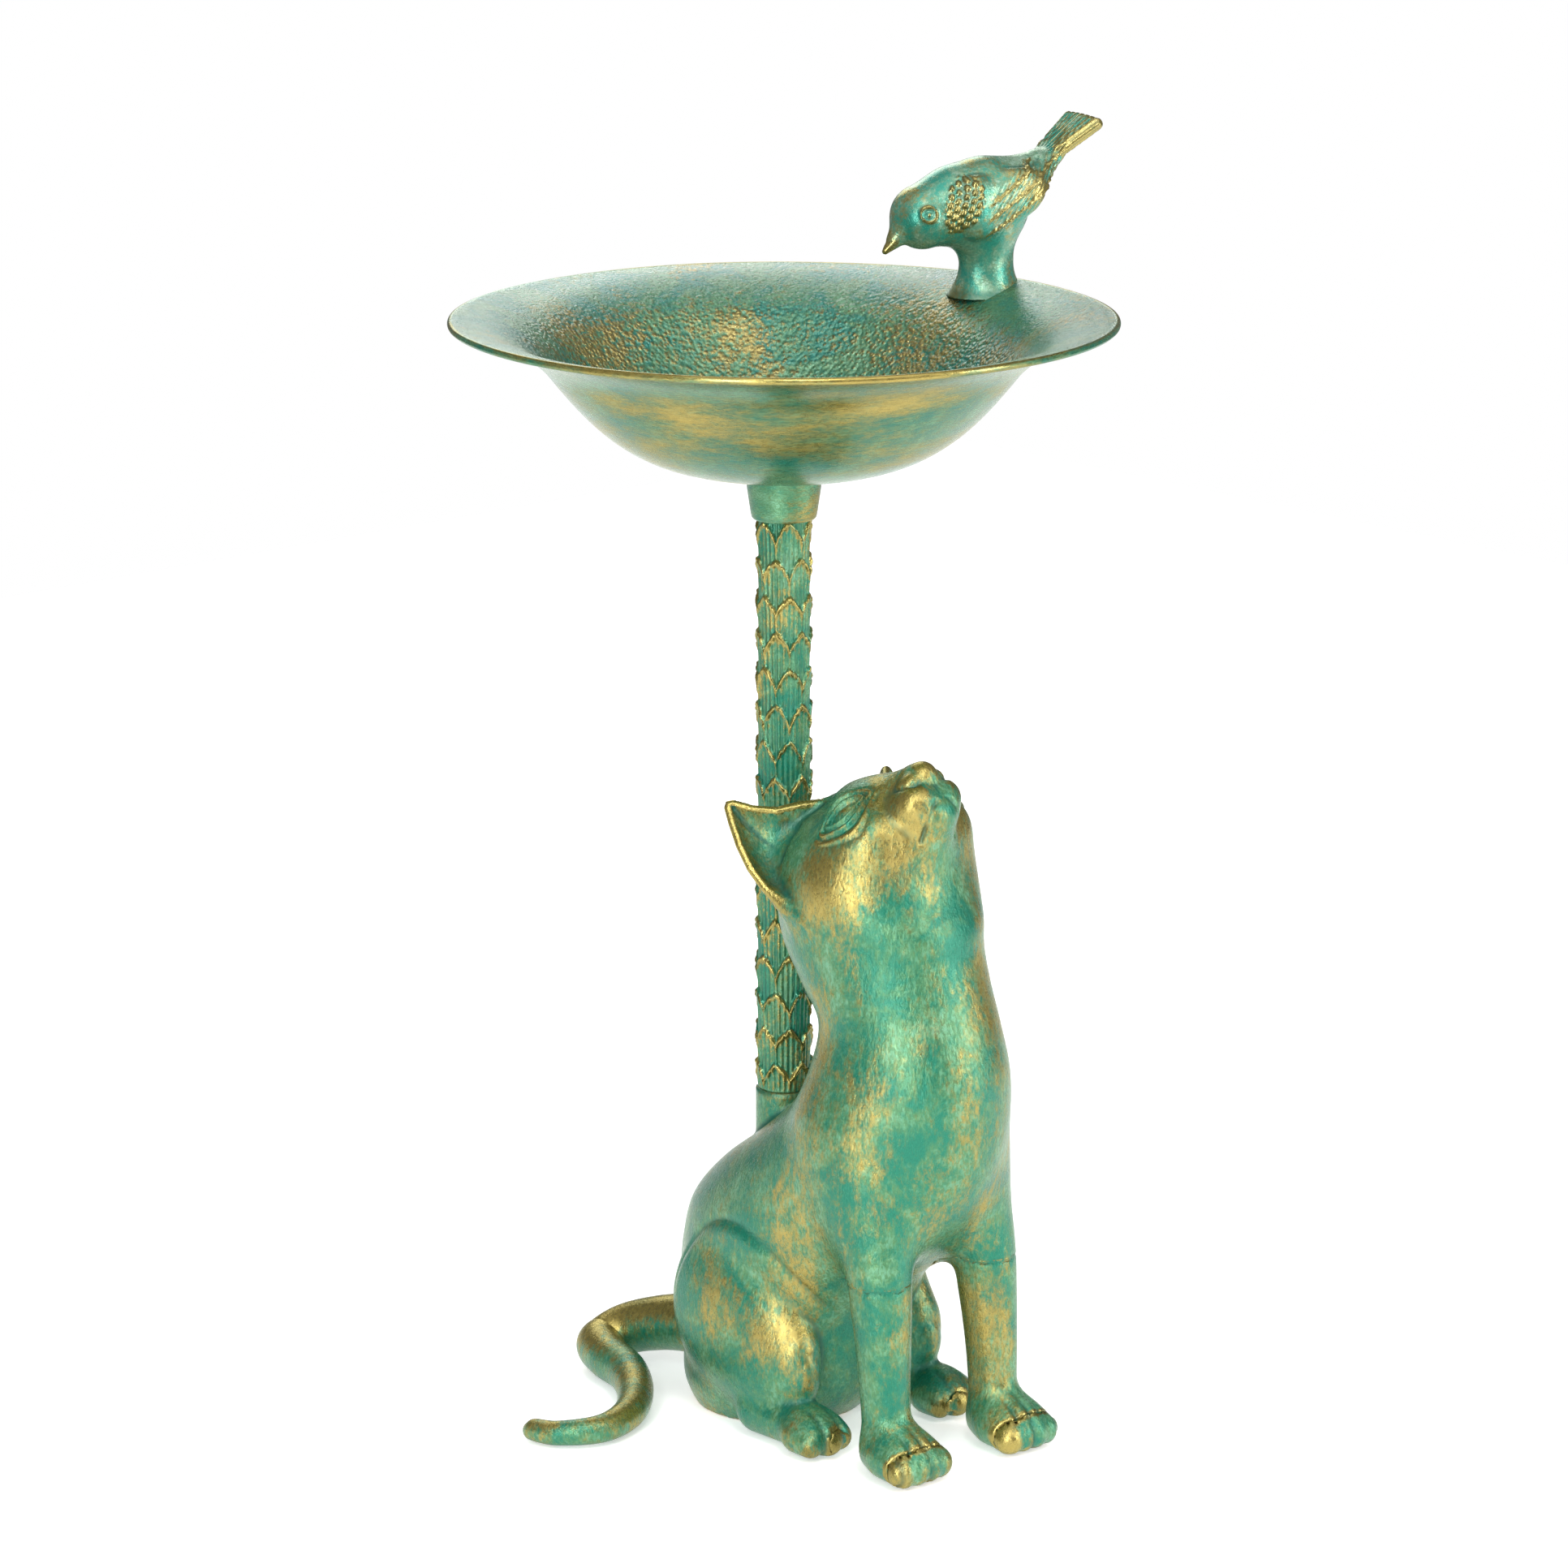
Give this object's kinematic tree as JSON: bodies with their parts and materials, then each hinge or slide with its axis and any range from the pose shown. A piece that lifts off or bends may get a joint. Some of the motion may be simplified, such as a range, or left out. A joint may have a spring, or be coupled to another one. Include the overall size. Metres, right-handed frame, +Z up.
{
  "type": "bird bath",
  "caption": "Free-standing garden bird bath: a sitting cat carries a leafy column and a wide flared bowl with a small bird on its brim.",
  "frame": {"origin": "on the ground under the cat's rump, on the axis of the column and bowl", "axes": "+Z is up along the column, -Y is where the cat faces, +X is the cat's left"},
  "size_m": [0.3456, 0.306, 0.5967],
  "materials": {
    "patinated_casting": "verdigris green patina with rubbed old-gold highlights, satin lacquer",
    "patinated_column": "verdigris green in the grooves, old gold on the leaf edges, satin lacquer",
    "patinated_bowl": "verdigris green stippled with old gold, satin lacquer",
    "patinated_bird": "verdigris green with old gold on the raised feathers, satin lacquer",
    "zinc_plated_steel": "bright zinc plate",
    "black_rubber": "matt moulded rubber"
  },
  "bodies": {
    "stand": {"cat_body": "patinated_casting", "right_foreleg": "patinated_casting", "left_foreleg": "patinated_casting", "tail": "patinated_casting", "socket_bush": "zinc_plated_steel", "tie_rod": "zinc_plated_steel", "column": "patinated_column", "column_bottom_plug": "zinc_plated_steel", "column_top_plug": "zinc_plated_steel", "seal_washer": "black_rubber"},
    "collar_ring": {"collar": "patinated_casting"},
    "bowl_and_bird": {"bowl": "patinated_bowl", "bird": "patinated_bird", "bird_screws": "zinc_plated_steel", "bird_washers": "zinc_plated_steel"}
  },
  "joints": [
    {"name": "bowl_turn", "type": "hinge", "parent": "stand", "child": "collar_ring", "pos_m": [0, 0, 0.431], "axis": [0, 0, 1], "range_deg": [0, 3240]},
    {"name": "bowl_rise", "type": "slide", "parent": "collar_ring", "child": "bowl_and_bird", "axis": [0, 0, 1], "range_m": [0, 0.0136]}
  ],
  "couplings": [
    {"joint": "bowl_rise", "follows": "bowl_turn", "m_per_rad": 0.00023873}
  ]
}
